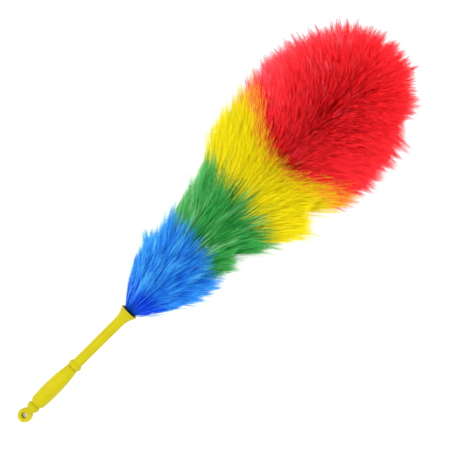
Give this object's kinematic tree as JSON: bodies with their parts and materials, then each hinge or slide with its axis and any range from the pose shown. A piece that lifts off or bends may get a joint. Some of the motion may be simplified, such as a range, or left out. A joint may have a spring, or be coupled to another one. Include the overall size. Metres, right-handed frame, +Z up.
{
  "type": "feather duster",
  "caption": "Feather duster with a moulded handle, a hanging eye, and a bushy blue, green, yellow and red fibre head on a bendable twisted-wire core.",
  "frame": {"origin": "on the surface the duster lies on, under the middle of its bounding box", "axes": "+X from the hanging eye towards the tip of the head, +Z up from the surface; the centre line climbs 10 degrees towards +X"},
  "size_m": [0.5923, 0.186, 0.181],
  "materials": {
    "handle_plastic": "satin",
    "white_plastic": "matte",
    "core_steel": "satin",
    "blue_fibre": "satin",
    "green_fibre": "satin",
    "yellow_fibre": "satin",
    "red_fibre": "satin"
  },
  "bodies": {
    "handle": {"grip": "handle_plastic", "stem": "handle_plastic", "core_plug": "white_plastic", "core_wire_tail": "core_steel"},
    "blue_section": {"core_wire_blue": "core_steel", "blue_fibres": "blue_fibre"},
    "green_section": {"core_wire_green": "core_steel", "green_fibres": "green_fibre"},
    "yellow_section": {"core_wire_yellow": "core_steel", "yellow_fibres": "yellow_fibre"},
    "red_section": {"core_wire_red": "core_steel", "tip_cap": "white_plastic", "red_fibres": "red_fibre"}
  },
  "joints": [
    {"name": "neck_bend", "type": "hinge", "parent": "handle", "child": "blue_section", "pos_m": [-0.12414, 0, 0.03398], "axis": [0, 0, 1], "range_deg": [-8, 8]},
    {"name": "blue_green_bend", "type": "hinge", "parent": "blue_section", "child": "green_section", "pos_m": [-0.06752, 0, 0.04396], "axis": [0, 0, 1], "range_deg": [-8, 8]},
    {"name": "green_yellow_bend", "type": "hinge", "parent": "green_section", "child": "yellow_section", "pos_m": [0.00241, 0, 0.05629], "axis": [0, 0, 1], "range_deg": [-8, 8]},
    {"name": "yellow_red_bend", "type": "hinge", "parent": "yellow_section", "child": "red_section", "pos_m": [0.08808, 0, 0.0714], "axis": [0, 0, 1], "range_deg": [-8, 8]}
  ]
}
